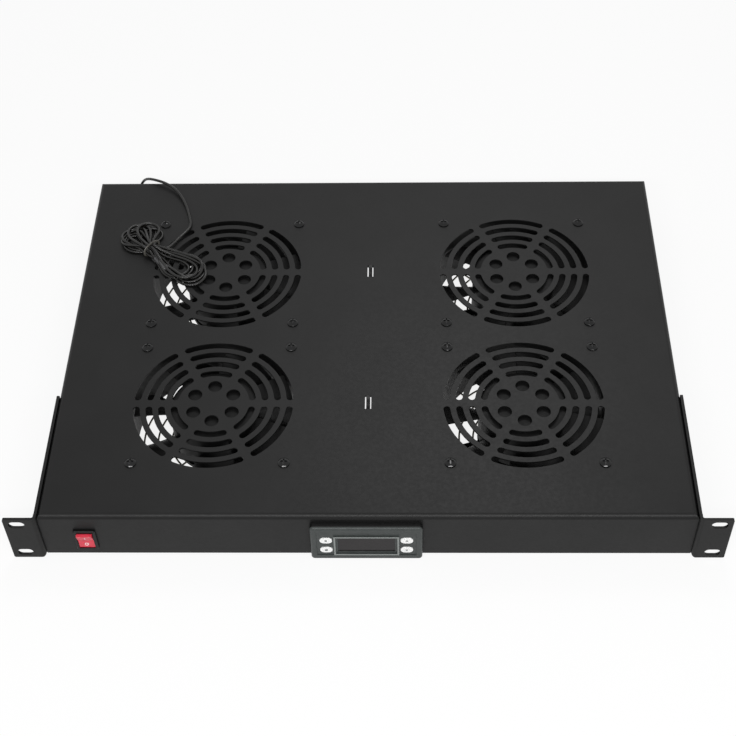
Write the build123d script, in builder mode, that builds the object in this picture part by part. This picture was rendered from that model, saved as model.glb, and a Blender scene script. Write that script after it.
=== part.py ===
from build123d import *
import math
import os

# Rack fan tray, one rack unit high, in millimetres.
# X runs to the right, Y to the rear and Z up. The origin is the centre of the
# four rack slots, on the rear face of the ears.

os.makedirs("parts", exist_ok=True)

# Rack interface of a 19-inch rack
rack_width = 482.6
slot_edge = 8.75
slot_margin_z = 12.25
slot_length = 11.0
slot_height = 7.0
ear_height = 44.0

# Rack brackets
bracket_sheet = 2.0
bracket_bend = 1.0
bracket_length = 107.0
bracket_drop = 0.6
ear_corner = 1.2
bend_corner = 3.5
bracket_hole_first = 22.0
bracket_hole_end = 21.0
bracket_hole_pitch_z = 22.0

# Tray body, folded from one sheet
ear_reach = 22.3
front_channel = 36.95
rear_channel = 42.75
side_channel = 50.25
fan_row_gap = 9.3
wire_way = 14.05
tray_below_ear = 1.2
tray_top_drop = 0.4
tray_sheet = 1.2
tray_bend = 2.4
panel_setback = 1.0
seam_gap = 0.4
relief_radius = 1.2

# Tie lances, each a strip pressed down between two slits
lance_shift = 1.0
lance_length = 12.2
lance_width = 4.4
lance_strip = 2.8
lance_drop = 3.0

# Fans
fan_height_margin = 4.8
fan_corner = 6.0
fan_flange = 5.0
fan_bore_margin = 4.5
fan_wall = 2.0
fan_flare = 1.5
fan_screw_margin = 14.7
strut_count = 4
strut_width = 7.0
strut_height = 5.0
strut_turn = 18.0
motor_plate = 3.0
boss_radius = 7.0
boss_drop = 9.0

# Impeller, shaft, bearings and stator
hub_share = 0.26
hub_wall = 6.0
hub_bottom = 6.0
hub_sink = 2.0
hub_roof = 2.5
hub_round = 1.5
hub_boss_radius = 5.0
hub_boss_gap = 1.0
blade_count = 7
blade_tip_gap = 1.2
blade_low = 7.0
blade_thickness = 1.8
blade_camber = 0.07
blade_share_root = 0.285
blade_share_middle = 0.36
blade_share_tip = 0.418
blade_angle_root = 46.0
blade_angle_middle = 36.0
blade_angle_tip = 28.0
blade_root_bite = 1.5
shaft_radius = 2.0
shaft_low = 1.0
shaft_bite = 6.0
bearing_radius = 5.0
bearing_width = 4.0
bearing_shoulder = 4.0
running_gap = 0.05
press_gap = 0.03
stator_gap = 1.0
stator_low = 9.0
stator_top_gap = 8.5
stator_teeth = 8
stator_slot_width = 5.0
stator_core_share = 0.58
stator_coil_height = 3.0

# Grille over each fan, as shares of the fan's size
grille_outer_share = 0.4527
grille_pitch_share = 0.0736
grille_slot_share = 0.0402
spoke_share = 0.0481
centre_hole_share = 0.0418
centre_circle_share = 0.1305
grille_rings = 4
spoke_count = 6

# Finger guard under each fan
guard_wire = 0.8
guard_outer_share = 0.452
guard_pitch_share = 0.0837
guard_ring_count = 5
guard_bite = 0.3
guard_seat_gap = 0.05

# M4 screws and nuts
screw_radius = 2.0
screw_hole = 2.25
head_radius = 4.0
head_height = 2.5
head_rim = 0.8
recess_length = 4.4
recess_width = 1.0
recess_depth = 1.4
fan_screw_length = 12.0
guard_screw_length = 12.0
guard_head_height = 1.7
bracket_screw_length = 8.0
nut_flats = 7.0
nut_height = 3.2

# Thermostat
bezel_overlap_x = 2.1
bezel_overlap_z = 3.5
bezel_proud = 5.0
bezel_corner = 2.5
bezel_edge = 1.8
bezel_field_margin = 4.0
bezel_field_depth = 0.5
field_margin = 5.0
thermostat_x = -0.2
thermostat_z = -3.3
cutout_width = 71.0
cutout_margin_z = 15.0
cutout_gap = 0.3
case_wall = 1.5
case_depth = 57.0
window_frame_gap = 1.7
window_frame_margin_z = 7.6
window_frame_rib = 1.2
window_margin = 5.5
window_margin_z = 6.0
window_thick = 1.2
window_sink = 0.6
window_z = -1.7
frame_proud = 0.5
button_width = 8.6
button_height = 6.2
button_inset = 8.4
button_high_z = 3.9
button_low_z = -6.9
button_proud = 0.5
button_gap = 0.25
button_flange = 0.8
button_flange_thick = 1.0
button_travel = 0.5
key_gap = 0.1
board_thick = 1.6
board_gap = 0.4
board_front = 8.0
display_depth = 9.0
key_size = 5.0
clip_height = 15.0
clip_length = 20.0
clip_root = 2.0
clip_tip = 5.0
terminal_depth = 6.0
terminal_height = 14.0
terminal_inset = 3.0
terminal_count = 10
terminal_hole = 1.8

# Mains switch
switch_inset = 29.3
switch_z = -4.2
switch_width = 15.0
switch_height = 21.6
switch_proud = 2.0
switch_corner = 1.2
switch_edge = 0.8
switch_cut_width = 13.0
switch_cut_height = 19.2
switch_body_gap = 0.15
switch_body_depth = 15.0
rocker_width = 10.6
rocker_gap = 0.25
rocker_end_radius = 8.1
rocker_front = 2.1
rocker_dip = 0.9
rocker_back = 2.0
rocker_keel = 3.0
rocker_well = 6.0
rocker_tilt = 9.0
rocker_pivot_y = 0.4
rocker_pin_radius = 0.9
rocker_pin_length = 0.8
tab_width = 4.8
tab_thick = 0.8
tab_length = 7.5
tab_pitch = 6.5

# Power inlet in the rear wall
inlet_inset = 69.0
inlet_z = 0.0
inlet_flange_width = 50.0
inlet_flange_height = 22.6
inlet_flange_thick = 3.0
inlet_screw_pitch = 40.0
inlet_screw_radius = 1.5
inlet_screw_head = 2.8
inlet_screw_head_height = 1.8
inlet_screw_length = 9.0
inlet_nut_flats = 5.5
inlet_nut_height = 2.4
inlet_body_width = 27.0
inlet_body_height = 19.6
inlet_body_depth = 16.0
inlet_body_gap = 0.25
inlet_corner = 5.0
inlet_mouth_width = 24.0
inlet_mouth_height = 16.4
inlet_mouth_corner = 4.4
inlet_mouth_depth = 16.5
inlet_pin_width = 2.0
inlet_pin_height = 4.0
inlet_pin_length = 14.0
inlet_pin_pitch = 14.0
inlet_pin_drop = 2.0
boot_depth = 14.0
boot_corner = 2.0
neck_radius = 4.0
neck_length = 6.0

# Wires that stay under the plate
loom_radius = 3.0
loom_x = -10.0
loom_gap = 0.05
lead_radius = 1.6
switch_lead_radius = 1.8
clip_base = 1.0
clip_base_width = 14.0
clip_band = 1.2
clip_width = 9.0
clip_after_front = 43.5
clip_before_rear = 31.5
clip_after_rear = 23.5
wall_clip_after_front = 53.5

# Probe, its lead and its grommet
cord_diameter = 2.2
cord_radius = cord_diameter / 2
grommet_inset = 29.0
grommet_z = 9.0
grommet_hole = 4.0
grommet_lip = 1.6
grommet_lip_thick = 1.2
grommet_bore_gap = 0.05
tip_radius = 2.5
tip_length = 17.0
tip_nose = 2.2
tip_stub = 3.0
tip_offset_start = (4.1, -9.4)
tip_offset_end = (12.3, -23.1)
hank_offset = (24.5, -77.0)
hank_turn = -40.0
hank_height = 8.0
hank_round = 2.2
rest_gap = 0.15
tie_width = 1.8
tie_thick = 1.1
tie_inside = 9.6
tie_offset = 0.3
tie_rest_gap = 0.05

# The lead's route where it isn't coiled: from the grommet's x, the rear wall and
# the plate, over the rear edge to the hank
probe_steps = [
    (0.0, 1.4, -12.6),
    (0.4, 8.4, -11.6),
    (3.4, 12.2, -7.2),
    (8.6, 11.0, -2.2),
    (15.0, 6.0, 1.6),
    (22.6, -0.6, 3.4),
    (30.8, -9.6, 3.2),
    (39.0, -19.4, 2.0),
    (45.8, -30.8, 1.5),
    (49.4, -43.6, 1.6),
    (48.4, -54.8, 1.6),
    (42.4, -63.8, 2.0),
    (33.6, -69.4, 3.0),
    (31.1, -75.4, 3.6),
]

# The hank's outline from its tie: along the hank, then across it
hank_outline = [
    (0.0, 5.0),
    (11.0, 9.6),
    (21.0, 13.4),
    (36.0, 14.4),
    (47.0, 8.6),
    (51.5, -1.0),
    (47.0, -10.0),
    (37.0, -10.6),
    (25.0, -6.0),
    (12.0, -2.6),
    (0.0, -4.4),
    (-10.0, -6.6),
    (-21.0, -12.0),
    (-31.0, -8.6),
    (-35.8, 1.0),
    (-30.0, 11.4),
    (-20.0, 15.4),
    (-9.6, 11.0),
]

# Values worked out from the sizes above
ear_bottom = -ear_height / 2
slot_pitch_x = rack_width - 2 * slot_edge
slot_pitch_z = ear_height - slot_margin_z
bracket_hole_pitch_y = bracket_length - bracket_hole_first - bracket_hole_end
bracket_hole_last = bracket_hole_first + bracket_hole_pitch_y
tray_width = rack_width - 2 * ear_reach
tray_half = tray_width / 2
tray_height = ear_height - tray_below_ear
tray_top = ear_height / 2 - tray_top_drop
tray_bottom = tray_top - tray_height
cutout_height = ear_height - cutout_margin_z
case_width = cutout_width - 2 * cutout_gap
case_height = cutout_height - 2 * cutout_gap

# The fans are as large as the tray's width allows beside its channels, and the
# tray is as deep as two rows of them.
centre_channel = case_width + 2 * wire_way
fan_size = (tray_width - centre_channel) / 2 - side_channel
fan_height = tray_height - fan_height_margin
fan_bore = fan_size - fan_bore_margin
fan_screw_pitch = fan_size - fan_screw_margin
fan_pitch_x = fan_size + centre_channel
fan_pitch_y = fan_size + fan_row_gap
tray_depth = front_channel + 2 * fan_size + fan_row_gap + rear_channel
tray_front = panel_setback
tray_rear = tray_front + tray_depth
tray_middle = tray_front + tray_depth / 2
panel_back = tray_front + tray_sheet
rear_wall_inside = tray_rear - tray_sheet
plate_under = tray_top - tray_sheet
bend_outer = tray_bend + tray_sheet
fan_first = tray_front + front_channel + fan_size / 2
fan_second = fan_first + fan_pitch_y
fan_bottom = plate_under - fan_height
bore_radius = fan_bore / 2
duct_radius = bore_radius + fan_wall
blade_tip_radius = bore_radius - blade_tip_gap
hub_radius = hub_share * fan_size
hub_top = fan_height - hub_sink
hub_roof_under = hub_top - hub_roof
boss_height = hub_top - boss_drop
stator_radius = hub_radius - hub_wall - stator_gap
stator_core_radius = stator_core_share * stator_radius
stator_height = hub_roof_under - stator_top_gap - stator_low
grille_outer = grille_outer_share * fan_size
grille_pitch = grille_pitch_share * fan_size
grille_slot = grille_slot_share * fan_size
spoke_width = spoke_share * fan_size
centre_hole_radius = centre_hole_share * fan_size
centre_hole_circle = centre_circle_share * fan_size
guard_ring_outer = guard_outer_share * fan_size
guard_ring_pitch = guard_pitch_share * fan_size
bezel_width = cutout_width + 2 * bezel_overlap_x
bezel_height = cutout_height + 2 * bezel_overlap_z
bezel_field_width = bezel_width - 2 * bezel_field_margin
button_pitch_x = cutout_width - 2 * button_inset
window_frame_width = button_pitch_x - button_width - window_frame_gap
window_frame_height = cutout_height - window_frame_margin_z
window_width = window_frame_width - window_margin
window_height = window_frame_height - window_margin_z
case_rear = tray_front + case_depth
terminal_rear = case_rear + terminal_depth
bezel_front = tray_front - bezel_proud
bezel_field = bezel_front + bezel_field_depth
switch_x = -tray_half + switch_inset
inlet_x = tray_half - inlet_inset
grommet_x = -tray_half + grommet_inset
inlet_face = tray_rear + inlet_flange_thick
inlet_rear = rear_wall_inside - inlet_body_depth
loom_z = plate_under - clip_band - loom_gap - loom_radius
wall_lane_x = -tray_half + tray_sheet + clip_band + loom_gap + cord_radius
clip_places = (fan_first + clip_after_front, fan_second - clip_before_rear, fan_second + clip_after_rear)
wall_clip_places = (fan_first + wall_clip_after_front, fan_second + clip_after_rear)
hank_x = grommet_x + hank_offset[0]
hank_y = tray_rear + hank_offset[1]
tip_start = (hank_x + tip_offset_start[0], hank_y + tip_offset_start[1])
tip_end = (hank_x + tip_offset_end[0], hank_y + tip_offset_end[1])
probe_route = [(grommet_x + x, tray_rear + y, tray_top + z) for x, y, z in probe_steps]

fan_places = {
    "front_left": (-fan_pitch_x / 2, fan_first),
    "front_right": (fan_pitch_x / 2, fan_first),
    "rear_left": (-fan_pitch_x / 2, fan_second),
    "rear_right": (fan_pitch_x / 2, fan_second),
}
fan_screw_places = [
    (x + i * fan_screw_pitch / 2, y + j * fan_screw_pitch / 2)
    for x, y in fan_places.values()
    for i in (-1, 1)
    for j in (-1, 1)
]
button_places = {
    "upper_left": (-button_pitch_x / 2, button_high_z),
    "upper_right": (button_pitch_x / 2, button_high_z),
    "lower_left": (-button_pitch_x / 2, button_low_z),
    "lower_right": (button_pitch_x / 2, button_low_z),
}


def keep(part, name):
    """Labels a finished piece and writes it."""
    part.label = name
    export_step(part, f"parts/{name}.step")


def front_plane(y):
    """A plane that faces the front at depth y, with X to the right and Z up."""
    return Plane(origin=(0, y, 0), x_dir=(1, 0, 0), z_dir=(0, -1, 0))


def pan_screw(length, radius, rim_radius, height, recess):
    """A pan-head screw that points down, with the seat of its head at the origin."""
    rise = height - head_rim
    dome = (rim_radius**2 + rise**2) / (2 * rise)
    with BuildPart() as screw:
        with BuildSketch(Plane.XZ):
            with BuildLine():
                Polyline(
                    (0, height),
                    (0, -length),
                    (radius, -length),
                    (radius, 0),
                    (rim_radius, 0),
                    (rim_radius, head_rim),
                )
                RadiusArc((rim_radius, head_rim), (0, height), -dome)
            make_face()
        revolve(axis=Axis.Z)
        if recess:
            with BuildSketch(Plane.XY.offset(height)):
                Rectangle(recess_length, recess_width)
                Rectangle(recess_width, recess_length)
            extrude(amount=-recess_depth, mode=Mode.SUBTRACT)
    return screw.part


def hex_nut(flats, height, radius):
    """A hexagon nut that stands on the origin."""
    with BuildPart() as nut:
        with BuildSketch():
            RegularPolygon(flats / 2, 6, major_radius=False)
            Circle(radius + press_gap, mode=Mode.SUBTRACT)
        extrude(amount=height)
    return nut.part


def rounded_route(points):
    """Straight runs joined by tangent arcs, as large as each pair of runs allows."""
    radii = []
    for before, corner, after in zip(points, points[1:], points[2:]):
        run_in = Vector(corner) - Vector(before)
        run_out = Vector(after) - Vector(corner)
        half_turn = math.radians(run_in.get_angle(run_out)) / 2
        shorter = min(run_in.length, run_out.length)
        radii.append(0.45 * shorter / math.tan(half_turn))
    return radii


def tube(points, radius, name):
    """A plain round tube along a route of runs and arcs."""
    radii = rounded_route(points)
    with BuildPart() as made:
        with BuildLine() as route:
            FilletPolyline(*points, radius=radii)
        path = route.wire()
        with BuildSketch(Plane(origin=path @ 0, z_dir=path % 0)):
            Circle(radius)
        sweep(path=path)
    ratio = made.part.volume / (math.pi * radius**2 * path.length)
    print(name, "radii", [round(r, 1) for r in radii])
    print(name, "length", round(path.length, 1), "volume ratio", round(ratio, 4))
    return made.part


# Tray body. One steel sheet is cut, pressed and folded down on all four sides.
# The front and rear walls run the full width, and the side walls end behind them.
with BuildPart() as tray_body:
    with BuildSketch(Plane.XY.offset(tray_bottom)):
        with Locations((0, tray_middle)):
            Rectangle(tray_width, tray_depth)
    extrude(amount=tray_height)
    fillet(tray_body.faces().sort_by(Axis.Z)[-1].edges(), radius=bend_outer)
    offset(amount=-tray_sheet, openings=tray_body.faces().sort_by(Axis.Z)[0])

    # Each corner is left open below the bend, up to a round relief.
    seam_pitch_y = tray_depth - 2 * tray_sheet - seam_gap
    with BuildSketch(Plane.XY.offset(tray_bottom)):
        with Locations((0, tray_middle)):
            with GridLocations(tray_width - tray_sheet, seam_pitch_y, 2, 2):
                Rectangle(2 * tray_sheet, seam_gap)
    extrude(amount=tray_height - bend_outer - relief_radius, mode=Mode.SUBTRACT)
    with BuildSketch(Plane.YZ):
        with Locations((tray_middle, tray_top - bend_outer - relief_radius)):
            with GridLocations(seam_pitch_y, 1, 2, 1):
                Circle(relief_radius)
    extrude(amount=tray_width, both=True, mode=Mode.SUBTRACT)

    # Four grilles: rings of arc slots between straight spokes, round a drilled centre.
    with BuildSketch(Plane.XY.offset(tray_top)):
        with Locations(*fan_places.values()):
            for ring in range(grille_rings):
                radius = grille_outer - ring * grille_pitch
                end_gap = math.degrees((spoke_width + grille_slot) / 2 / radius)
                arc_size = 360 / spoke_count - 2 * end_gap
                with PolarLocations(0, spoke_count):
                    SlotArc(CenterArc((0, 0), radius, end_gap, arc_size, mode=Mode.PRIVATE), grille_slot)
            with PolarLocations(centre_hole_circle, spoke_count, start_angle=180 / spoke_count):
                Circle(centre_hole_radius)
        with Locations(*fan_screw_places):
            Circle(screw_hole)
    extrude(amount=-2 * tray_sheet, mode=Mode.SUBTRACT)

    # Two lances: a short strip stays joined at its ends and is pressed down.
    for lance_y in (fan_first + lance_shift, fan_second + lance_shift):
        with BuildSketch(Plane.XY.offset(tray_top)):
            with Locations((0, lance_y)):
                Rectangle(lance_width, lance_length)
        extrude(amount=-2 * tray_sheet, mode=Mode.SUBTRACT)
        with BuildSketch(Plane.YZ):
            with BuildLine():
                first = lance_y - lance_length / 2
                last = lance_y + lance_length / 2
                low = tray_top - lance_drop
                ThreePointArc((first, tray_top), (lance_y, low), (last, tray_top))
                Line((last, tray_top), (last, plate_under))
                ThreePointArc((last, plate_under), (lance_y, low - tray_sheet), (first, plate_under))
                Line((first, plate_under), (first, tray_top))
            make_face()
        extrude(amount=lance_strip / 2, both=True)

    # Cut-outs of the thermostat and the switch in the front wall.
    with BuildSketch(front_plane(tray_front)):
        with Locations((thermostat_x, thermostat_z)):
            Rectangle(cutout_width, cutout_height)
        with Locations((switch_x, switch_z)):
            Rectangle(switch_cut_width, switch_cut_height)
    extrude(amount=-2 * tray_sheet, mode=Mode.SUBTRACT)

    # Inlet cut-out, its two screw holes and the grommet's hole in the rear wall.
    with BuildSketch(front_plane(tray_rear)):
        with Locations((inlet_x, inlet_z)):
            Rectangle(inlet_body_width + 2 * inlet_body_gap, inlet_body_height + 2 * inlet_body_gap)
            with GridLocations(inlet_screw_pitch, 1, 2, 1):
                Circle(inlet_screw_radius + press_gap * 5)
        with Locations((grommet_x, grommet_z)):
            Circle(grommet_hole)
    extrude(amount=2 * tray_sheet, mode=Mode.SUBTRACT)

    # Holes for the bracket screws, through both side walls.
    with BuildSketch(Plane.YZ):
        with Locations((bracket_hole_first + bracket_hole_pitch_y / 2, 0)):
            with GridLocations(bracket_hole_pitch_y, bracket_hole_pitch_z, 2, 2):
                Circle(screw_hole)
    extrude(amount=tray_width, both=True, mode=Mode.SUBTRACT)
keep(tray_body.part, "tray_body")

# Rack brackets. Each is a flat blank bent once, with the ear turned outwards.
with BuildPart() as right_rack_bracket:
    with BuildSketch(Plane.XY.offset(ear_bottom)):
        with BuildLine():
            Polyline(
                (tray_half, -bracket_sheet),
                (rack_width / 2, -bracket_sheet),
                (rack_width / 2, 0),
                (tray_half + bracket_sheet, 0),
                (tray_half + bracket_sheet, bracket_length - bracket_sheet),
                (tray_half, bracket_length - bracket_sheet),
                close=True,
            )
        make_face()
    extrude(amount=ear_height)
    upright = right_rack_bracket.edges().filter_by(Axis.Z)
    fillet(upright.sort_by_distance((tray_half, -bracket_sheet, 0))[0], radius=bracket_bend + bracket_sheet)
    upright = right_rack_bracket.edges().filter_by(Axis.Z)
    inner_bend = (tray_half + bracket_sheet, 0, 0)
    fillet(upright.sort_by_distance(inner_bend)[0], radius=bracket_bend)

    # The side wall's top edge lies a little below the ear's.
    with BuildSketch(Plane.YZ.offset(tray_half - bracket_sheet)):
        with Locations((bracket_bend + bracket_sheet, -ear_bottom)):
            Rectangle(bracket_length, 2 * bracket_drop, align=(Align.MIN, Align.CENTER))
    extrude(amount=3 * bracket_sheet, mode=Mode.SUBTRACT)

    # Ear corners are eased, and the lower corner at the bend is cut round.
    outer = right_rack_bracket.edges().filter_by(Axis.Y).group_by(Axis.X)[-1]
    fillet(outer, radius=ear_corner)
    with BuildSketch(front_plane(-bracket_sheet)):
        with Locations((tray_half, ear_bottom)):
            Rectangle(bend_corner, bend_corner, align=(Align.MIN, Align.MIN))
        with Locations((tray_half + bend_corner, ear_bottom + bend_corner)):
            Circle(bend_corner, mode=Mode.SUBTRACT)
    extrude(amount=-2 * bracket_sheet, mode=Mode.SUBTRACT)
    with BuildSketch(front_plane(-bracket_sheet)):
        with Locations((slot_pitch_x / 2, 0)):
            with GridLocations(1, slot_pitch_z, 1, 2):
                SlotOverall(slot_length, slot_height)
    extrude(amount=-bracket_sheet, mode=Mode.SUBTRACT)
    with BuildSketch(Plane.YZ.offset(tray_half)):
        with Locations((bracket_hole_first + bracket_hole_pitch_y / 2, 0)):
            with GridLocations(bracket_hole_pitch_y, bracket_hole_pitch_z, 2, 2):
                Circle(screw_hole)
    extrude(amount=bracket_sheet, mode=Mode.SUBTRACT)
keep(right_rack_bracket.part, "right_rack_bracket")

with BuildPart() as left_rack_bracket:
    mirror(right_rack_bracket.part, about=Plane.YZ)
keep(left_rack_bracket.part, "left_rack_bracket")

# Bracket screws from outside, with their nuts inside the side walls.
bracket_screw = pan_screw(bracket_screw_length, screw_radius, head_radius, head_height, True)
bracket_nut = hex_nut(nut_flats, nut_height, screw_radius)
bracket_seats = [
    (side, bracket_hole_first + i * bracket_hole_pitch_y, j * bracket_hole_pitch_z / 2)
    for side in (-1, 1)
    for i in (0, 1)
    for j in (-1, 1)
]
with BuildPart() as bracket_screws:
    for side, y, z in bracket_seats:
        seat = Plane(origin=(side * (tray_half + bracket_sheet), y, z), z_dir=(side, 0, 0))
        with Locations(seat):
            add(bracket_screw)
keep(bracket_screws.part, "bracket_screws")

with BuildPart() as bracket_nuts:
    for side, y, z in bracket_seats:
        seat = Plane(origin=(side * (tray_half - tray_sheet), y, z), z_dir=(-side, 0, 0))
        with Locations(seat):
            add(bracket_nut)
keep(bracket_nuts.part, "bracket_nuts")

# Fan screws through the plate and each fan's upper flange, with nuts under it.
fan_screw = pan_screw(fan_screw_length, screw_radius, head_radius, head_height, True)
with BuildPart() as fan_screws:
    with Locations(*[(x, y, tray_top) for x, y in fan_screw_places]):
        add(fan_screw)
keep(fan_screws.part, "fan_screws")

fan_nut = hex_nut(nut_flats, nut_height, screw_radius)
with BuildPart() as fan_nuts:
    with Locations(*[(x, y, plate_under - fan_flange - nut_height) for x, y in fan_screw_places]):
        add(fan_nut)
keep(fan_nuts.part, "fan_nuts")

# Guard screws from below, through the guard's eyes and each fan's lower flange.
guard_seat = fan_bottom - 2 * guard_wire - 2 * guard_seat_gap
guard_screw = pan_screw(guard_screw_length, screw_radius, head_radius, guard_head_height, False)
with BuildPart() as guard_screws:
    for x, y in fan_screw_places:
        with Locations(Plane(origin=(x, y, guard_seat), z_dir=(0, 0, -1))):
            add(guard_screw)
keep(guard_screws.part, "guard_screws")

with BuildPart() as guard_nuts:
    with Locations(*[(x, y, fan_bottom + fan_flange) for x, y in fan_screw_places]):
        add(fan_nut)
keep(guard_nuts.part, "guard_nuts")

# Fan frame, die-cast: two square flanges joined by a round duct, with a motor
# plate and a bearing boss carried on struts at the lower end.
with BuildPart() as fan_frame:
    with BuildSketch():
        RectangleRounded(fan_size, fan_size, fan_corner)
    extrude(amount=fan_height)
    with BuildSketch(Plane.XY.offset(fan_flange)):
        Rectangle(2 * fan_size, 2 * fan_size)
        Circle(duct_radius, mode=Mode.SUBTRACT)
    extrude(amount=fan_height - 2 * fan_flange, mode=Mode.SUBTRACT)
    with BuildSketch():
        Circle(bore_radius)
    extrude(amount=fan_height, mode=Mode.SUBTRACT)
    round_edges = fan_frame.edges().filter_by(GeomType.CIRCLE)
    bore_rims = round_edges.filter_by(lambda edge: abs(edge.radius - bore_radius) < press_gap)
    fillet(bore_rims, radius=fan_flare)
    with BuildSketch():
        Circle(hub_radius)
    extrude(amount=motor_plate)
    with BuildSketch():
        with PolarLocations(0, strut_count, start_angle=strut_turn):
            Rectangle(duct_radius - fan_wall / 2, strut_width, align=(Align.MIN, Align.CENTER))
        Circle(hub_radius - strut_width, mode=Mode.SUBTRACT)
    extrude(amount=strut_height)
    with BuildSketch():
        Circle(boss_radius)
    extrude(amount=boss_height)
    with BuildSketch():
        Circle(bearing_shoulder)
    extrude(amount=boss_height, mode=Mode.SUBTRACT)
    with BuildSketch():
        Circle(bearing_radius + press_gap)
    extrude(amount=bearing_width + shaft_low, mode=Mode.SUBTRACT)
    with BuildSketch(Plane.XY.offset(boss_height)):
        Circle(bearing_radius + press_gap)
    extrude(amount=-bearing_width, mode=Mode.SUBTRACT)
    with BuildSketch():
        with GridLocations(fan_screw_pitch, fan_screw_pitch, 2, 2):
            Circle(screw_hole)
    extrude(amount=fan_height, mode=Mode.SUBTRACT)

# One blade, a cambered section that flattens from root to tip. It is trimmed to
# the hub and to the tip circle.
blade_middle = (blade_low + hub_top) / 2
hub_inside = hub_radius - hub_wall
blade_sections = [
    (hub_inside, blade_share_root * fan_size, blade_angle_root),
    ((hub_radius + blade_tip_radius) / 2, blade_share_middle * fan_size, blade_angle_middle),
    (blade_tip_radius + 2 * blade_tip_gap, blade_share_tip * fan_size, blade_angle_tip),
]
with BuildPart() as blade:
    for radius, chord, angle in blade_sections:
        along = (0, math.cos(math.radians(angle)), math.sin(math.radians(angle)))
        with BuildSketch(Plane(origin=(radius, 0, blade_middle), x_dir=along, z_dir=(1, 0, 0))):
            with BuildLine():
                half = chord / 2
                edge = blade_thickness / 4
                rise = blade_camber * chord
                ThreePointArc((-half, edge), (0, rise + blade_thickness / 2), (half, edge))
                Line((half, edge), (half, -edge))
                ThreePointArc((half, -edge), (0, rise - blade_thickness / 2), (-half, -edge))
                Line((-half, -edge), (-half, edge))
            make_face()
    loft()
    with BuildSketch(Plane.XY.offset(blade_low)):
        Circle(blade_tip_radius)
        Circle(hub_radius - blade_root_bite, mode=Mode.SUBTRACT)
    extrude(amount=hub_top - blade_low, mode=Mode.INTERSECT)

# Impeller: a hub that covers the motor like a cup, with its blades moulded on.
with BuildPart() as impeller:
    with BuildSketch(Plane.XY.offset(hub_bottom)):
        Circle(hub_radius)
    extrude(amount=hub_top - hub_bottom)
    fillet(impeller.faces().sort_by(Axis.Z)[-1].edges(), radius=hub_round)
    with BuildSketch(Plane.XY.offset(hub_bottom)):
        Circle(hub_inside)
    extrude(amount=hub_roof_under - hub_bottom, mode=Mode.SUBTRACT)
    with BuildSketch(Plane.XY.offset(hub_roof_under)):
        Circle(hub_boss_radius)
    extrude(amount=boss_height + hub_boss_gap - hub_roof_under)
    with BuildSketch(Plane.XY.offset(boss_height)):
        Circle(shaft_radius + press_gap)
    extrude(amount=hub_boss_gap + shaft_bite, mode=Mode.SUBTRACT)
    with PolarLocations(0, blade_count):
        add(blade.part)

# Shaft, pressed into the hub and run in the two bearings.
with BuildPart() as fan_shaft:
    with BuildSketch(Plane.XY.offset(shaft_low)):
        Circle(shaft_radius)
    extrude(amount=boss_height + hub_boss_gap + shaft_bite - shaft_low)

# Bearings, one at each end of the boss.
with BuildPart() as bearing_pair:
    for low in (shaft_low, boss_height - bearing_width):
        with BuildSketch(Plane.XY.offset(low)):
            Circle(bearing_radius)
            Circle(shaft_radius + running_gap, mode=Mode.SUBTRACT)
        extrude(amount=bearing_width)

# Stator: a slotted stack of laminations on the boss, with a coil above and below.
with BuildPart() as fan_stator:
    with BuildSketch(Plane.XY.offset(stator_low + stator_coil_height)):
        Circle(stator_radius)
        with PolarLocations(0, stator_teeth):
            with Locations((stator_core_radius, 0)):
                Rectangle(
                    stator_radius, stator_slot_width, align=(Align.MIN, Align.CENTER), mode=Mode.SUBTRACT
                )
    extrude(amount=stator_height - 2 * stator_coil_height)
    with BuildSketch(Plane.XY.offset(stator_low)):
        Circle(stator_radius - stator_coil_height)
    extrude(amount=stator_height)
    with BuildSketch(Plane.XY.offset(stator_low)):
        Circle(boss_radius + press_gap)
    extrude(amount=stator_height, mode=Mode.SUBTRACT)

# Finger guard, welded from wire: rings under two crossed wires, with an eye at
# each end that its screw passes through.
eye_radius = screw_hole + guard_wire
cross_z = -guard_wire - guard_seat_gap
ring_z = cross_z - 2 * guard_wire + guard_bite
cross_length = fan_screw_pitch * math.sqrt(2) - 2 * eye_radius
with BuildPart() as finger_guard:
    for ring in range(guard_ring_count):
        ring_radius = guard_ring_outer - ring * guard_ring_pitch
        with BuildSketch(Plane.XZ):
            with Locations((ring_radius, ring_z)):
                Circle(guard_wire)
        revolve(axis=Axis.Z)
    for angle in (45, 135):
        direction = (math.cos(math.radians(angle)), math.sin(math.radians(angle)), 0)
        with BuildSketch(Plane(origin=(0, 0, cross_z), z_dir=direction)):
            Circle(guard_wire)
        extrude(amount=cross_length / 2, both=True)
    with Locations(Plane.XY.offset(cross_z)):
        with GridLocations(fan_screw_pitch, fan_screw_pitch, 2, 2):
            Torus(eye_radius, guard_wire)

# The four fans are alike. Each rotor stands at its own angle, as it stopped.
rotor_rest = {"front_left": 12.0, "front_right": 20.0, "rear_left": 5.0, "rear_right": 33.0}
for name, (x, y) in fan_places.items():
    fan_plane = Plane(origin=(x, y, fan_bottom))
    with BuildPart() as placed_frame:
        with Locations(fan_plane):
            add(fan_frame.part)
    keep(placed_frame.part, f"{name}_fan_frame")
    with BuildPart() as placed_impeller:
        with Locations(fan_plane):
            add(impeller.part, rotation=(0, 0, rotor_rest[name]))
    keep(placed_impeller.part, f"{name}_impeller")
    with BuildPart() as placed_shaft:
        with Locations(fan_plane):
            add(fan_shaft.part)
    keep(placed_shaft.part, f"{name}_shaft")
    with BuildPart() as placed_stator:
        with Locations(fan_plane):
            add(fan_stator.part)
    keep(placed_stator.part, f"{name}_stator")
    with BuildPart() as placed_guard:
        with Locations(fan_plane):
            add(finger_guard.part)
    keep(placed_guard.part, f"{name}_finger_guard")

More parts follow.
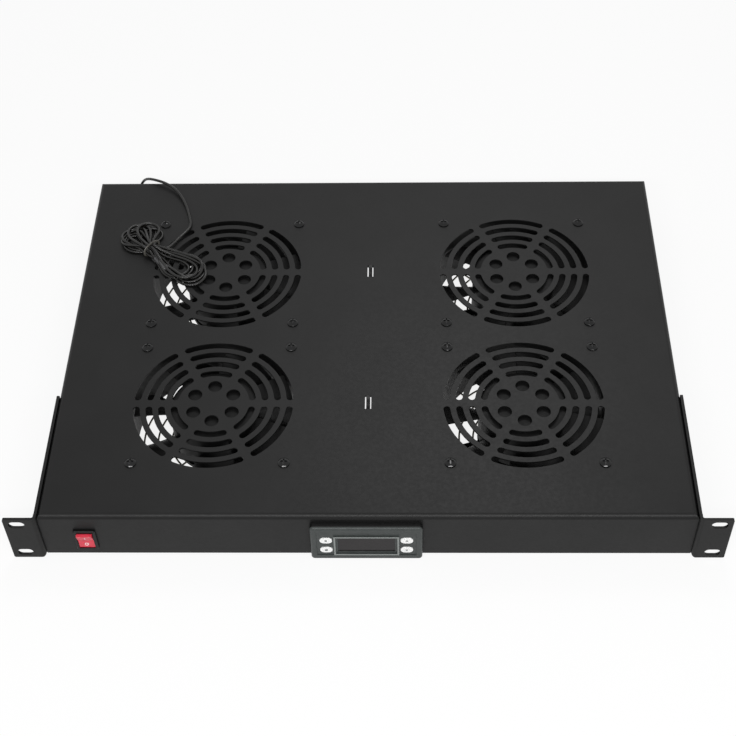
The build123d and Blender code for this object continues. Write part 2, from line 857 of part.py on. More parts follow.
with BuildPart() as fan_bearings:
    with Locations(*[(x, y, fan_bottom) for x, y in fan_places.values()]):
        add(bearing_pair.part)
keep(fan_bearings.part, "fan_bearings")

# Thermostat bezel: a moulded plate with a sunk field, a raised rib round the
# window and four holes for the buttons.
with BuildPart() as thermostat_bezel:
    with BuildSketch(front_plane(tray_front)):
        with Locations((thermostat_x, thermostat_z)):
            RectangleRounded(bezel_width, bezel_height, bezel_corner)
    extrude(amount=bezel_proud)
    fillet(thermostat_bezel.faces().sort_by(Axis.Y)[0].edges(), radius=bezel_edge)
    with BuildSketch(front_plane(bezel_front)):
        with Locations((thermostat_x, thermostat_z)):
            Rectangle(bezel_field_width, bezel_height - 2 * field_margin)
    extrude(amount=-bezel_field_depth, mode=Mode.SUBTRACT)
    with BuildSketch(front_plane(bezel_field)):
        with Locations((thermostat_x, thermostat_z + window_z)):
            Rectangle(window_frame_width, window_frame_height)
            Rectangle(
                window_frame_width - 2 * window_frame_rib,
                window_frame_height - 2 * window_frame_rib,
                mode=Mode.SUBTRACT,
            )
    extrude(amount=bezel_field_depth + frame_proud)
    with BuildSketch(front_plane(bezel_field)):
        with Locations((thermostat_x, thermostat_z + window_z)):
            Rectangle(window_width, window_height)
        with Locations(*[(thermostat_x + x, thermostat_z + z) for x, z in button_places.values()]):
            SlotOverall(button_width + 2 * button_gap, button_height + 2 * button_gap)
    extrude(amount=-bezel_proud, mode=Mode.SUBTRACT)
keep(thermostat_bezel.part, "thermostat_bezel")

# Window, a clear pane that drops into the bezel's opening.
with BuildPart() as thermostat_window:
    with BuildSketch(front_plane(bezel_field + window_sink)):
        with Locations((thermostat_x, thermostat_z + window_z)):
            Rectangle(window_width - press_gap, window_height - press_gap)
    extrude(amount=-window_thick)
keep(thermostat_window.part, "thermostat_window")

# Case, a moulded box behind the panel, open at the bezel and closed at the rear.
with BuildPart() as thermostat_case:
    with BuildSketch(front_plane(tray_front)):
        with Locations((thermostat_x, thermostat_z)):
            Rectangle(case_width, case_height)
    extrude(amount=-case_depth)
    with BuildSketch(front_plane(tray_front)):
        with Locations((thermostat_x, thermostat_z)):
            Rectangle(case_width - 2 * case_wall, case_height - 2 * case_wall)
    extrude(amount=case_wall - case_depth, mode=Mode.SUBTRACT)
keep(thermostat_case.part, "thermostat_case")

# Display board: the display block faces the window, and a key switch stands
# behind each button with its travel left free.
key_front = tray_front + button_flange_thick + button_travel + key_gap
with BuildPart() as thermostat_board:
    with BuildSketch(front_plane(board_front)):
        with Locations((thermostat_x, thermostat_z)):
            Rectangle(case_width - 2 * case_wall - board_gap, case_height - 2 * case_wall - board_gap)
    extrude(amount=-board_thick)
    with BuildSketch(front_plane(board_front)):
        with Locations((thermostat_x, thermostat_z + window_z)):
            Rectangle(window_width - 2 * window_frame_rib, window_height - 2 * window_frame_rib)
    extrude(amount=display_depth)
    with BuildSketch(front_plane(board_front)):
        with Locations(*[(thermostat_x + x, thermostat_z + z) for x, z in button_places.values()]):
            Rectangle(key_size, key_size)
    extrude(amount=board_front - key_front)
keep(thermostat_board.part, "thermostat_board")

# Buttons. Each has a rim behind the bezel that keeps it from falling out.
for name, (x, z) in button_places.items():
    with BuildPart() as button:
        with BuildSketch(front_plane(tray_front)):
            with Locations((thermostat_x + x, thermostat_z + z)):
                SlotOverall(button_width, button_height)
        extrude(amount=bezel_proud - bezel_field_depth + button_proud)
        fillet(button.faces().sort_by(Axis.Y)[0].edges(), radius=button_proud * 0.8)
        with BuildSketch(front_plane(tray_front)):
            with Locations((thermostat_x + x, thermostat_z + z)):
                SlotOverall(button_width + 2 * button_flange, button_height + 2 * button_flange)
        extrude(amount=-button_flange_thick)
    keep(button.part, f"{name}_button")

# Side clips, wedges on the case that press against the back of the panel.
with BuildPart() as thermostat_clips:
    for side in (-1, 1):
        clip_x = thermostat_x + side * case_width / 2
        with BuildSketch(Plane.XY.offset(thermostat_z - clip_height / 2)):
            with BuildLine():
                Polyline(
                    (clip_x, panel_back),
                    (clip_x + side * clip_tip, panel_back),
                    (clip_x + side * clip_root, panel_back + clip_length),
                    (clip_x, panel_back + clip_length),
                    close=True,
                )
            make_face()
        extrude(amount=clip_height)
keep(thermostat_clips.part, "thermostat_clips")

# Terminal block on the back of the case, with one hole for each wire.
with BuildPart() as thermostat_terminals:
    with BuildSketch(front_plane(case_rear)):
        with Locations((thermostat_x, thermostat_z)):
            Rectangle(case_width - 2 * terminal_inset, terminal_height)
    extrude(amount=-terminal_depth)
    terminal_pitch = (case_width - 2 * terminal_inset) / terminal_count
    with BuildSketch(front_plane(terminal_rear)):
        with Locations((thermostat_x, thermostat_z + terminal_height / 4)):
            with GridLocations(terminal_pitch, 1, terminal_count, 1):
                Circle(terminal_hole)
    extrude(amount=terminal_depth / 2, mode=Mode.SUBTRACT)
keep(thermostat_terminals.part, "thermostat_terminals")

# Switch body: a bevelled frame on the panel and a box behind it. The rocker
# rocks on a pin at each side of the frame's opening.
with BuildPart() as switch_body:
    with BuildSketch(front_plane(tray_front)):
        with Locations((switch_x, switch_z)):
            RectangleRounded(switch_width, switch_height, switch_corner)
    extrude(amount=switch_proud)
    chamfer(switch_body.faces().sort_by(Axis.Y)[0].edges(), length=switch_edge)
    with BuildSketch(front_plane(tray_front)):
        with Locations((switch_x, switch_z)):
            Rectangle(switch_cut_width - 2 * switch_body_gap, switch_cut_height - 2 * switch_body_gap)
    extrude(amount=-switch_body_depth)
    with BuildSketch(front_plane(tray_front - switch_proud)):
        with Locations((switch_x, switch_z)):
            Rectangle(rocker_width + 2 * rocker_gap, 2 * (rocker_end_radius + rocker_gap))
    extrude(amount=-(switch_proud + rocker_well), mode=Mode.SUBTRACT)
    with BuildSketch(Plane.YZ.offset(switch_x)):
        with Locations((rocker_pivot_y, switch_z)):
            Circle(rocker_pin_radius + running_gap)
    extrude(amount=rocker_width / 2 + rocker_pin_length + running_gap, both=True, mode=Mode.SUBTRACT)
keep(switch_body.part, "switch_body")

# Rocker, clear red, at rest with its lower half pressed in. Its ends are round
# about the pins, so that they pass the frame as it rocks.
lean = math.radians(rocker_tilt)
rocker_plane = Plane(
    origin=(switch_x + rocker_width / 2, rocker_pivot_y, switch_z),
    x_dir=(0, -math.cos(lean), -math.sin(lean)),
    z_dir=(-1, 0, 0),
)
front_end = math.sqrt(rocker_end_radius**2 - rocker_front**2)
back_end = math.sqrt(rocker_end_radius**2 - rocker_back**2)
with BuildPart() as switch_rocker:
    with BuildSketch(rocker_plane):
        with BuildLine():
            Polyline((rocker_front, -front_end), (rocker_dip, 0), (rocker_front, front_end))
            ThreePointArc((rocker_front, front_end), (0, rocker_end_radius), (-rocker_back, back_end))
            Polyline((-rocker_back, back_end), (-rocker_keel, 0), (-rocker_back, -back_end))
            ThreePointArc((-rocker_back, -back_end), (0, -rocker_end_radius), (rocker_front, -front_end))
        make_face()
    extrude(amount=rocker_width)
    with BuildSketch(Plane.YZ.offset(switch_x)):
        with Locations((rocker_pivot_y, switch_z)):
            Circle(rocker_pin_radius)
    extrude(amount=rocker_width / 2 + rocker_pin_length, both=True)
keep(switch_rocker.part, "switch_rocker")

# Switch terminals, three flat tabs on the back of its body.
with BuildPart() as switch_terminals:
    with BuildSketch(front_plane(tray_front + switch_body_depth)):
        with Locations((switch_x, switch_z)):
            with GridLocations(1, tab_pitch, 1, 3):
                Rectangle(tab_width, tab_thick)
    extrude(amount=-tab_length)
keep(switch_terminals.part, "switch_terminals")

# Power inlet: a moulded socket for a mains connector, screwed to the rear wall.
with BuildPart() as power_inlet:
    with BuildSketch(front_plane(tray_rear)):
        with Locations((inlet_x, inlet_z)):
            RectangleRounded(inlet_flange_width, inlet_flange_height, inlet_corner)
    extrude(amount=-inlet_flange_thick)
    with BuildSketch(front_plane(tray_rear)):
        with Locations((inlet_x, inlet_z)):
            Rectangle(inlet_body_width, inlet_body_height)
    extrude(amount=tray_sheet + inlet_body_depth)
    with BuildSketch(front_plane(inlet_face)) as mouth:
        with Locations((inlet_x, inlet_z)):
            Rectangle(inlet_mouth_width, inlet_mouth_height)
        chamfer(mouth.vertices().group_by(Axis.Y)[-1], length=inlet_mouth_corner)
    extrude(amount=inlet_mouth_depth, mode=Mode.SUBTRACT)
    with BuildSketch(front_plane(inlet_face)):
        with Locations((inlet_x, inlet_z)):
            with GridLocations(inlet_screw_pitch, 1, 2, 1):
                Circle(inlet_screw_radius + press_gap * 5)
    extrude(amount=inlet_flange_thick, mode=Mode.SUBTRACT)
keep(power_inlet.part, "power_inlet")

# Inlet pins: live and neutral side by side, and earth between and above them.
pin_floor = inlet_face - inlet_mouth_depth
pin_places = [
    (inlet_x - inlet_pin_pitch / 2, inlet_z - inlet_pin_drop),
    (inlet_x + inlet_pin_pitch / 2, inlet_z - inlet_pin_drop),
    (inlet_x, inlet_z + inlet_pin_drop),
]
with BuildPart() as inlet_pins:
    with BuildSketch(front_plane(pin_floor)):
        with Locations(*pin_places):
            Rectangle(inlet_pin_width, inlet_pin_height)
    extrude(amount=-inlet_pin_length)
keep(inlet_pins.part, "inlet_pins")

inlet_screw = pan_screw(
    inlet_screw_length, inlet_screw_radius, inlet_screw_head, inlet_screw_head_height, False
)
inlet_nut = hex_nut(inlet_nut_flats, inlet_nut_height, inlet_screw_radius)
inlet_screw_xs = [inlet_x - inlet_screw_pitch / 2, inlet_x + inlet_screw_pitch / 2]
with BuildPart() as inlet_screws:
    for x in inlet_screw_xs:
        with Locations(Plane(origin=(x, inlet_face, inlet_z), z_dir=(0, 1, 0))):
            add(inlet_screw)
keep(inlet_screws.part, "inlet_screws")

with BuildPart() as inlet_nuts:
    for x in inlet_screw_xs:
        with Locations(Plane(origin=(x, rear_wall_inside, inlet_z), z_dir=(0, -1, 0))):
            add(inlet_nut)
keep(inlet_nuts.part, "inlet_nuts")

# Boot, a soft cover over the inlet's terminals with a side neck for the loom.
neck_x = inlet_x - inlet_body_width / 2 - neck_length
neck_y = inlet_rear - boot_depth / 2
with BuildPart() as inlet_boot:
    with BuildSketch(front_plane(inlet_rear)):
        with Locations((inlet_x, inlet_z)):
            RectangleRounded(inlet_body_width, inlet_body_height, boot_corner)
    extrude(amount=boot_depth)
    fillet(inlet_boot.faces().sort_by(Axis.Y)[0].edges(), radius=boot_corner)
    with BuildSketch(Plane(origin=(neck_x, neck_y, inlet_z), z_dir=(1, 0, 0))):
        Circle(neck_radius)
    extrude(amount=neck_length + boot_corner)
keep(inlet_boot.part, "inlet_boot")

# Mains loom, from the boot along the rear, then forwards under the plate.
loom_end = terminal_rear
loom_run = neck_x - loom_x
loom_route = [
    (neck_x, neck_y, inlet_z),
    (neck_x - 0.13 * loom_run, neck_y, inlet_z),
    (neck_x - 0.37 * loom_run, neck_y - 3, loom_z - 4),
    (neck_x - 0.6 * loom_run, neck_y - 4, loom_z),
    (loom_x + 0.157 * loom_run, neck_y - 3, loom_z),
    (loom_x, neck_y - 24, loom_z),
    (loom_x, loom_end + 40, loom_z),
    (loom_x, loom_end + 24, loom_z - 4),
    (loom_x, loom_end + 16, thermostat_z),
    (loom_x, loom_end, thermostat_z),
]
keep(tube(loom_route, loom_radius, "mains_loom"), "mains_loom")

# Fan leads, one from each fan's duct to the loom.
fan_lead_low = 3.0
fan_lead_shift = 12.0
with BuildPart() as fan_leads:
    for name, (x, y) in fan_places.items():
        side = 1 if x < loom_x else -1
        lead_start = x + side * duct_radius
        lead_end = loom_x - side * loom_radius
        lead = tube(
            [
                (lead_start, y, fan_lead_low),
                (lead_start + side * 10, y, fan_lead_low),
                (lead_end - side * 14, y + fan_lead_shift, loom_z),
                (lead_end, y + fan_lead_shift, loom_z),
            ],
            lead_radius,
            f"{name}_fan_lead",
        )
        add(lead)
keep(fan_leads.part, "fan_leads")

# Switch lead, from the switch's tabs along the front to the thermostat.
tab_end = tray_front + switch_body_depth + tab_length
lane_y = 27.0
turn_x = thermostat_x - case_width / 2 - 7.5
switch_lead_route = [
    (switch_x, tab_end, switch_z),
    (switch_x, tab_end + 7, switch_z),
    (switch_x + 12, tab_end + 12, switch_z),
    (switch_x + 26, lane_y + 1, switch_z),
    (switch_x + 44, lane_y, switch_z),
    (turn_x - 18, lane_y, switch_z),
    (turn_x - 3, lane_y + 12, switch_z),
    (turn_x - 3, terminal_rear, switch_z),
    (turn_x + 5, terminal_rear + 14, switch_z + 1),
    (turn_x + 18, terminal_rear + 13, thermostat_z),
    (turn_x + 18, terminal_rear, thermostat_z),
]
keep(tube(switch_lead_route, switch_lead_radius, "switch_lead"), "switch_lead")

# Inner stretch of the probe's lead, along the left wall to the thermostat.
probe_lane_z = 6.0
probe_inner_route = [
    (grommet_x, rear_wall_inside - grommet_lip_thick, grommet_z),
    (grommet_x, rear_wall_inside - 12, grommet_z),
    (grommet_x - 12, rear_wall_inside - 30, 4),
    (wall_lane_x, rear_wall_inside - 52, 1),
    (wall_lane_x, bracket_hole_last + 30, 1),
    (wall_lane_x + 5, bracket_hole_last + 12, 0.5),
    (wall_lane_x + 7, lane_y + 29, 1),
    (wall_lane_x + 16, lane_y + 13, 3),
    (wall_lane_x + 34, lane_y + 7, probe_lane_z),
    (wall_lane_x + 54, lane_y + 1, probe_lane_z),
    (turn_x - 16, lane_y, probe_lane_z),
    (turn_x - 2, lane_y + 12, probe_lane_z),
    (turn_x - 2, terminal_rear - 2, probe_lane_z),
    (turn_x + 5, terminal_rear + 19, probe_lane_z),
    (turn_x + 25, terminal_rear + 18, 1),
    (turn_x + 25, terminal_rear, 1),
]
keep(tube(probe_inner_route, cord_radius, "probe_inner_lead"), "probe_inner_lead")

# Loom clips: a stuck-down base with a band round the wire, under the plate for
# the loom and on the left wall for the probe's lead.
with BuildPart() as loom_clips:
    for y in clip_places:
        with BuildSketch(front_plane(y - clip_width / 2)):
            with Locations((loom_x, plate_under - clip_base / 2)):
                Rectangle(clip_base_width, clip_base)
            with Locations((loom_x, loom_z)):
                Circle(loom_radius + loom_gap + clip_band)
                Circle(loom_radius + loom_gap, mode=Mode.SUBTRACT)
        extrude(amount=-clip_width)
    for y in wall_clip_places:
        with BuildSketch(front_plane(y - clip_width / 2)):
            with Locations((-tray_half + tray_sheet + clip_base / 2, 1)):
                Rectangle(clip_base, clip_base_width)
            with Locations((wall_lane_x, 1)):
                Circle(cord_radius + loom_gap + clip_band)
                Circle(cord_radius + loom_gap, mode=Mode.SUBTRACT)
        extrude(amount=-clip_width)
keep(loom_clips.part, "loom_clips")

# Grommet, a soft ring that lines the lead's hole in the rear wall.
with BuildPart() as probe_grommet:
    with BuildSketch(Plane.XY):
        with BuildLine():
            Polyline(
                (cord_radius + grommet_bore_gap, -grommet_lip_thick),
                (grommet_hole + grommet_lip, -grommet_lip_thick),
                (grommet_hole + grommet_lip, 0),
                (grommet_hole, 0),
                (grommet_hole, tray_sheet),
                (grommet_hole + grommet_lip, tray_sheet),
                (grommet_hole + grommet_lip, tray_sheet + grommet_lip_thick),
                (cord_radius + grommet_bore_gap, tray_sheet + grommet_lip_thick),
                close=True,
            )
        make_face()
    revolve(axis=Axis.Y)
with BuildPart() as placed_grommet:
    with Locations((grommet_x, rear_wall_inside, grommet_z)):
        add(probe_grommet.part)
keep(placed_grommet.part, "probe_grommet")

# Probe lead, from the grommet over the rear edge to the hank.
lead_start = (grommet_x, tray_rear + grommet_lip_thick, grommet_z)
keep(tube([lead_start] + probe_route[1:], cord_radius, "probe_cord"), "probe_cord")

# Hank: the rest of the lead, folded to and fro and tied at its waist.
hank_low = tray_top + rest_gap
hank_along = (math.cos(math.radians(hank_turn)), math.sin(math.radians(hank_turn)), 0)
hank_plane = Plane(origin=(hank_x, hank_y, hank_low), x_dir=hank_along, z_dir=(0, 0, 1))
with BuildPart() as probe_hank:
    with BuildSketch(hank_plane):
        with BuildLine():
            Spline(*hank_outline, periodic=True)
        make_face()
    extrude(amount=hank_height)
    fillet(probe_hank.faces().sort_by(Axis.Z)[-1].edges(), radius=hank_round)
keep(probe_hank.part, "probe_hank")

# Tie, a flat strip round the hank's waist with its two ends twisted outwards.
with BuildPart() as hank_tie:
    with BuildSketch(Plane(origin=hank_plane.origin, x_dir=hank_plane.y_dir, z_dir=hank_plane.x_dir)):
        with Locations((tie_offset, hank_height / 2)):
            RectangleRounded(tie_inside, hank_height, hank_round)
        offset(amount=tie_thick)
        with Locations((tie_offset, hank_height / 2)):
            RectangleRounded(tie_inside, hank_height, hank_round, mode=Mode.SUBTRACT)
    extrude(amount=tie_width / 2, both=True)
    with BuildSketch(Plane.XY.offset(tray_top + tie_rest_gap)):
        with Locations((hank_x, hank_y)):
            Rectangle(2 * tie_inside, 2 * tie_inside)
    extrude(amount=-2 * tie_thick, mode=Mode.SUBTRACT)
keep(hank_tie.part, "hank_tie")

# Probe tip, a moulded bead on the lead's end, round at its nose.
tip_z = tray_top + rest_gap + tip_radius
tip_line = Vector(*tip_end, 0) - Vector(*tip_start, 0)
with BuildPart() as probe_tip:
    with BuildSketch(Plane(origin=(*tip_start, tip_z), z_dir=tip_line)):
        Circle(tip_radius)
    extrude(amount=tip_length)
    rims = probe_tip.edges().filter_by(GeomType.CIRCLE)
    fillet(rims.sort_by_distance((*tip_end, tip_z))[0], radius=tip_nose)
    with BuildSketch(Plane(origin=(*tip_start, tip_z), z_dir=-tip_line)):
        Circle(cord_radius)
    extrude(amount=tip_stub)
keep(probe_tip.part, "probe_tip")
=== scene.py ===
import math

import bpy
import numpy as np
from mathutils import Matrix, Vector


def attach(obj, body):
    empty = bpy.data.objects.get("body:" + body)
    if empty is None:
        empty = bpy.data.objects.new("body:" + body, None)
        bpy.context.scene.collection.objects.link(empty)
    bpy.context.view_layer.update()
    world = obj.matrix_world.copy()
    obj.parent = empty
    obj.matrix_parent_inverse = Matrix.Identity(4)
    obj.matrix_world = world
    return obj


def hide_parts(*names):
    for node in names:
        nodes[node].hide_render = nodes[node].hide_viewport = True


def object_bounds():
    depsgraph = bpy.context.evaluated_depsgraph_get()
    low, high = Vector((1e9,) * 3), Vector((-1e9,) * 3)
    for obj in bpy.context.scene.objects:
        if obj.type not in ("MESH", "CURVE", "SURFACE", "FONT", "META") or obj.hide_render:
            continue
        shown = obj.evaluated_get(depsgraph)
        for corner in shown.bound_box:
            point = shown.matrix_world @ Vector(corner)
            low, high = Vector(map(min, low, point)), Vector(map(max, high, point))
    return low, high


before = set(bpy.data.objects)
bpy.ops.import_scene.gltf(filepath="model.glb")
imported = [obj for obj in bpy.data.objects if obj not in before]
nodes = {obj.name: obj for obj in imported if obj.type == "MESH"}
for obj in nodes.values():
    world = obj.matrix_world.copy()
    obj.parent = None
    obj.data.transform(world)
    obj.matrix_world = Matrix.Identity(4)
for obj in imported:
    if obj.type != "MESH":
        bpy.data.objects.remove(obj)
cad_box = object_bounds()

# Camera. A studio camera in front of the tray and above it, as in the photograph:
# a long lens, 49 degrees down, turned and rolled by about two degrees.
camera_place = (0.024346, -0.546863, 0.811623)
down, turned, rolled = math.radians(49.383), math.radians(-2.103), math.radians(-1.723)
sensor_width = 36.0
focal_pixels = 1451.7
frame_pixels = 736
ahead = Vector((math.sin(turned) * math.cos(down), math.cos(turned) * math.cos(down), -math.sin(down)))
level = Vector((math.cos(turned), -math.sin(turned), 0))
lift = level.cross(ahead)
right = math.cos(rolled) * level + math.sin(rolled) * lift
up = math.cos(rolled) * lift - math.sin(rolled) * level
bpy.ops.object.camera_add()
camera = bpy.context.object
camera.matrix_world = Matrix.Translation(camera_place) @ Matrix((right, up, -ahead)).transposed().to_4x4()
camera.data.sensor_width = sensor_width
camera.data.lens = sensor_width * focal_pixels / frame_pixels
bpy.context.scene.camera = camera
bpy.context.scene.view_settings.view_transform = "Standard"

# Probe lead. A limp two-core vinyl lead, 2.2 mm thick, that leaves the rear wall
# through a grommet, comes over the edge and lies in a tied hank on the plate.
lead_width = 0.0022
lead_in = [
    (-190.0, 330.2, 9.0), (-189.8, 335.4, 9.4), (-188.2, 338.4, 12.6), (-184.6, 336.6, 17.8),
    (-179.8, 332.0, 22.2), (-173.6, 327.6, 24.6), (-166.4, 324.0, 25.0), (-158.6, 318.4, 24.6),
    (-152.0, 309.6, 24.1), (-146.8, 298.6, 23.4), (-143.2, 286.6, 23.0), (-141.0, 275.8, 22.9),
    (-145.4, 268.2, 22.9), (-149.4, 262.4, 23.0), (-152.2, 257.2, 23.4), (-155.2, 252.2, 23.8),
    (-157.9, 249.9, 24.2), (-161.1, 249.3, 24.6),
]
# Each lobe of the hank: its turn in degrees, its length and its width in millimetres
left_lobes = [
    (-12, 26, 15), (8, 30, 15), (30, 29, 15), (48, 25, 15),
    (-2, 29, 16), (20, 31, 15), (40, 28, 16), (6, 32, 16),
]
right_lobes = [
    (0, 42, 17), (5, 50, 24), (8, 45, 20), (3, 52, 25), (-2, 40, 16), (7, 48, 22), (2, 46, 19),
]
hank_middle = (-168.6, 248.4, 21.6)
hank_turn = math.radians(-40)
strand = 2.2
waist_half = 2.2
waist_lanes = (1.15, 3.45)
waist_row = 2.15
plate_gap = 0.05
first_seat = (4.6, 3.4)
last_seat = (-5.75, 2.65)
lead_end = (9.6, -4.7, 2.65)
lobe_points = 10


def waist_seat(number):
    """Where a strand lies in the tied waist: across it, and above the plate."""
    row, lane = divmod(number, 2)
    return waist_lanes[lane], strand / 2 + waist_row * row + plate_gap


def lobe(side, turn, length, width, seat_in, seat_out):
    """One loop of the hank, from its seat in the waist out and round to the next."""
    way = 1 if seat_in[0] > 0 else -1
    fold = width / 2
    loosened = 0.42 * length
    half = [(0.2 * length, 0.1 * width), (loosened, 0.28 * width), (0.66 * length, 0.44 * width)]
    half += [(length - 0.586 * fold, fold), (length, 0.414 * fold)]
    half = [(along, across * way) for along, across in half]
    outline = half + [(along, -across) for along, across in reversed(half)]
    points = []
    for place, (along, across) in enumerate(outline):
        free = min(1.0, along / loosened)
        angle = math.radians(turn) * free
        seat = seat_in if place < len(outline) / 2 else seat_out
        share = (place + 1) / (len(outline) + 1)
        points.append((
            side * (along * math.cos(angle) - across * math.sin(angle)),
            along * math.sin(angle) + across * math.cos(angle) + seat[0] * (1 - free),
            seat_in[1] + (seat_out[1] - seat_in[1]) * share,
        ))
    return points


# The strand enters on the upper side of the waist and ends on its lower side.
turns, held = [], []
for count, left in enumerate(left_lobes):
    upper = waist_seat(count - 1) if count else first_seat
    last = count == len(left_lobes) - 1
    seat = waist_seat(count)
    lower = last_seat if last else (-seat[0], seat[1])
    turns += [(waist_half, *upper), (-waist_half, *upper)]
    turns += lobe(-1, *left, upper, lower)
    turns += [(-waist_half, *lower), (waist_half, *lower)]
    held += [True, True] + [False] * lobe_points + [True, True]
    if not last:
        turns += lobe(1, *right_lobes[count], lower, waist_seat(count))
        held += [False] * lobe_points
turns, loose = np.array(turns), ~np.array(held)

# The loops settle: they sink to the plate, push each other a diameter apart, and
# keep their length and some stiffness, while the tie holds the waist.
settle_steps = 300
sink = 0.04
clear = strand * 1.03
neighbours = 2.2
push_gain, push_limit = 2.4, 0.8
pull_gain = 0.3
tightest = 9.5
least_bend = 0.03
steps_between = 3
weights = []
for point in range(1, len(turns) - 1):
    for part in np.arange(steps_between) / steps_between:
        row = np.zeros(len(turns))
        row[point - 1:point + 2] = 0.5 * (1 - part) ** 2, 0.5 * (1 + 2 * part - 2 * part**2), 0.5 * part**2
        weights.append(row)
weights = np.array(weights)
weight_sum = weights.sum(0)[:, None] + 1e-6
spans = np.linalg.norm(np.diff(turns, axis=0), axis=1)
order = np.arange(len(weights)) / steps_between
apart = np.abs(order[:, None] - order[None]) > neighbours
for step in range(settle_steps):
    turns[loose, 2] -= sink
    samples = weights @ turns
    gap = samples[:, None] - samples[None]
    distance = np.sqrt((gap**2).sum(2)) + 1e-9
    short = np.where((distance < clear) & apart, (clear - distance) / 2, 0)
    push = weights.T @ (short[..., None] * gap / distance[..., None]).sum(1) / weight_sum * push_gain
    turns[loose] += np.clip(push, -push_limit, push_limit)[loose]
    edges = np.diff(turns, axis=0)
    length = np.linalg.norm(edges, axis=1)
    pull = pull_gain * edges * ((length - spans) / length)[:, None]
    turns[:-1][loose[:-1]] += pull[loose[:-1]]
    turns[1:][loose[1:]] -= pull[loose[1:]]
    bend = np.zeros_like(turns)
    bend[1:-1] = (turns[2:] + turns[:-2]) / 2 - turns[1:-1]
    amount = np.linalg.norm(bend, axis=1) + 1e-9
    chord = np.ones(len(turns))
    chord[1:-1] = np.linalg.norm(turns[2:] - turns[:-2], axis=1) / 2
    bend *= (np.maximum(least_bend, 1 - chord**2 / (2 * tightest) / amount))[:, None]
    turns[loose] += 0.5 * bend[loose]
    turns[:-1][loose[:-1]] -= 0.25 * bend[1:][loose[:-1]]
    turns[1:][loose[1:]] -= 0.25 * bend[:-1][loose[1:]]
    turns[:, 2] = np.maximum(turns[:, 2], strand / 2 + 0.02)


def on_plate(along, across, above):
    """A point of the hank, in metres, from its place along, across and above."""
    x = hank_middle[0] + along * math.cos(hank_turn) - across * math.sin(hank_turn)
    y = hank_middle[1] + along * math.sin(hank_turn) + across * math.cos(hank_turn)
    return x / 1000, y / 1000, (hank_middle[2] + above) / 1000


route = [tuple(value / 1000 for value in point) for point in lead_in]
route += [on_plate(*point) for point in turns] + [on_plate(*lead_end)]
bpy.ops.object.select_all(action="DESELECT")
bpy.ops.curve.primitive_nurbs_path_add()
probe_lead = bpy.context.object
probe_lead.name = "probe_lead"
probe_lead.data.splines.clear()
spline = probe_lead.data.splines.new("NURBS")
spline.points.add(len(route) - 1)
for point, place in zip(spline.points, route):
    point.co = (*place, 1)
spline.order_u = 3
spline.use_endpoint_u = True
spline.resolution_u = 6
probe_lead.data.bevel_depth = lead_width / 2
probe_lead.data.bevel_resolution = 4
probe_lead.data.use_fill_caps = True


def linear(colour):
    """An sRGB colour as Blender's linear one."""
    parts = [int(colour[i:i + 2], 16) / 255 for i in (1, 3, 5)]
    return [v / 12.92 if v <= 0.04045 else ((v + 0.055) / 1.055) ** 2.4 for v in parts] + [1.0]


def add(tree, kind, inputs=None, **settings):
    """Adds a node with its settings. An input is a value or another node's output."""
    node = tree.nodes.new("ShaderNode" + kind)
    for name, value in settings.items():
        setattr(node, name, value)
    for key, value in (inputs or {}).items():
        if isinstance(value, bpy.types.NodeSocket):
            tree.links.new(value, node.inputs[key])
        else:
            node.inputs[key].default_value = value
    return node


def finish(name, colour, rough, metal=0.0, gloss=0.5, coat=0.0):
    """A new material and its shader."""
    made = bpy.data.materials.new(name)
    made.use_nodes = True
    shader = made.node_tree.nodes["Principled BSDF"]
    shader.inputs["Base Color"].default_value = linear(colour)
    shader.inputs["Roughness"].default_value = rough
    shader.inputs["Metallic"].default_value = metal
    shader.inputs["Specular IOR Level"].default_value = gloss
    shader.inputs["Coat Weight"].default_value = coat
    return made, made.node_tree, shader


def noise(tree, millimetres, detail=2.0, stretch=(1, 1, 1)):
    """Noise with spots of about that size."""
    where = add(tree, "TexCoord").outputs["Object"]
    scaled = add(tree, "Mapping", {"Vector": where, "Scale": stretch})
    settings = {"Vector": scaled.outputs[0], "Scale": 1000 / millimetres, "Detail": detail}
    return add(tree, "TexNoise", settings).outputs[0]


def bump(tree, shader, height, depth):
    """Bumps of that depth in millimetres on the shader."""
    made = add(tree, "Bump", {"Height": height, "Distance": depth / 1000, "Strength": 1.0})
    tree.links.new(made.outputs[0], shader.inputs["Normal"])


def tones(tree, shader, factor, low, high):
    """The shader's colour goes from low to high as the factor rises."""
    ramp = add(tree, "ValToRGB", {"Fac": factor})
    for element, place, colour in zip(ramp.color_ramp.elements, (0.35, 0.65), (low, high)):
        element.position, element.color = place, linear(colour)
    tree.links.new(ramp.outputs[0], shader.inputs["Base Color"])


def sheen_spread(tree, shader, factor, low, high):
    """The shader's roughness goes from low to high as the factor rises."""
    limits = {"From Min": 0.3, "From Max": 0.7, "To Min": low, "To Max": high}
    spread = add(tree, "MapRange", {"Value": factor, **limits})
    tree.links.new(spread.outputs[0], shader.inputs["Roughness"])


def paint(made, *names):
    """Gives CAD nodes that material."""
    for name in names:
        for place in nodes[name].material_slots:
            place.material = made


# Extruded vinyl: soft sheen, faint draw lines and dust
jacket, tree, shader = finish("vinyl_jacket", "#0b0a09", 0.24, gloss=0.4)
tones(tree, shader, noise(tree, 6, 3), "#080807", "#0f0e0c")
sheen_spread(tree, shader, noise(tree, 1.5), 0.2, 0.3)
bump(tree, shader, noise(tree, 0.3), 0.02)
probe_lead.data.materials.append(jacket)
paint(jacket, "probe_cord", "probe_hank", "probe_inner_lead")
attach(probe_lead, "tray")
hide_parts("probe_cord", "probe_hank")

